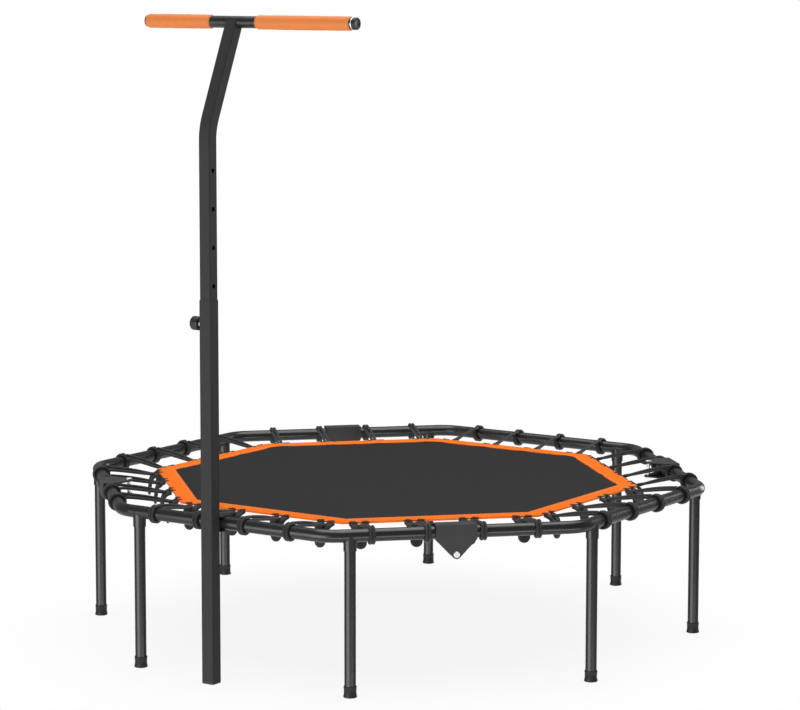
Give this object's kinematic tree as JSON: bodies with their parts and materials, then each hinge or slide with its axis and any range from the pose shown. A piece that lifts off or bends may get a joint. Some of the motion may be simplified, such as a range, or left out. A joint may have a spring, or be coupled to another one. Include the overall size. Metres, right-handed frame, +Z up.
{
  "type": "mini trampoline",
  "caption": "Folding octagonal mini trampoline on screw-in legs, with a bungee-hung bed, a coloured border and a height-adjustable T-handle.",
  "frame": {"origin": "on the floor under the middle of the bed", "axes": "+Z up; the fold line runs along Y through the front and back hinge pins; -Y is the front; the handle stands on the front-left side, between -X and -Y"},
  "size_m": [1.224, 1.2258, 1.2796],
  "materials": {
    "frame_paint": "satin powder coat",
    "hinge_paint": "satin powder coat",
    "bright_steel": "polished",
    "plain_steel": "zinc plated",
    "foot_rubber": "matte",
    "black_plastic": "moulded",
    "bed_fabric": "woven",
    "border_fabric": "woven",
    "webbing": "woven webbing",
    "bungee_cord": "braided sheath",
    "grip_foam": "closed-cell foam"
  },
  "bodies": {
    "left_frame": {"bed_border_left": "border_fabric", "bed_mat_left": "bed_fabric", "bed_tabs_left": "webbing", "bungee_loops_left": "bungee_cord", "foot_back_left": "foot_rubber", "foot_front": "foot_rubber", "foot_front_left": "foot_rubber", "foot_left": "foot_rubber", "frame_tube_back_left": "frame_paint", "frame_tube_front_left": "frame_paint", "hinge_pin_back": "bright_steel", "hinge_pin_front": "bright_steel", "hinge_pin_left": "bright_steel", "hinge_saddle_back": "hinge_paint", "hinge_saddle_front": "hinge_paint", "hinge_saddle_left": "hinge_paint", "hinge_tongue_left": "hinge_paint", "knob_neck": "plain_steel", "knob_spring": "plain_steel", "leg_back_left": "frame_paint", "leg_front": "frame_paint", "leg_front_left": "frame_paint", "leg_left": "frame_paint", "leg_sockets_left": "frame_paint", "post_foot_plug": "black_plastic", "post_lower": "frame_paint", "post_screws": "plain_steel", "post_spigot": "frame_paint", "post_strap": "frame_paint", "post_upper": "frame_paint"},
    "right_frame": {"bed_border_right": "border_fabric", "bed_mat_right": "bed_fabric", "bed_tabs_right": "webbing", "bungee_loops_right": "bungee_cord", "foot_back": "foot_rubber", "foot_back_right": "foot_rubber", "foot_front_right": "foot_rubber", "foot_right": "foot_rubber", "frame_tube_back_right": "frame_paint", "frame_tube_front_right": "frame_paint", "hinge_pin_right": "bright_steel", "hinge_saddle_right": "hinge_paint", "hinge_tongue_back": "hinge_paint", "hinge_tongue_front": "hinge_paint", "hinge_tongue_right": "hinge_paint", "leg_back": "frame_paint", "leg_back_right": "frame_paint", "leg_front_right": "frame_paint", "leg_right": "frame_paint", "leg_sockets_right": "frame_paint"},
    "handle_mast": {"mast": "frame_paint", "mast_bush": "black_plastic", "crossbar": "frame_paint", "grip_short": "grip_foam", "grip_long": "grip_foam", "crossbar_cap_left": "black_plastic", "crossbar_cap_right": "black_plastic"},
    "lock_knob": {"knob_head": "black_plastic", "locking_pin": "plain_steel"}
  },
  "joints": [
    {"name": "frame_fold", "type": "hinge", "parent": "left_frame", "child": "right_frame", "pos_m": [0, 0, 0.27], "axis": [0, 1, 0], "range_deg": [0, 130]},
    {"name": "mast_slide", "type": "slide", "parent": "left_frame", "child": "handle_mast", "axis": [0, 0, 1], "range_m": [-0.292, 0]},
    {"name": "lock_pull", "type": "slide", "parent": "left_frame", "child": "lock_knob", "axis": [0.7071, -0.7071, 0], "range_m": [0, 0.006]}
  ]
}
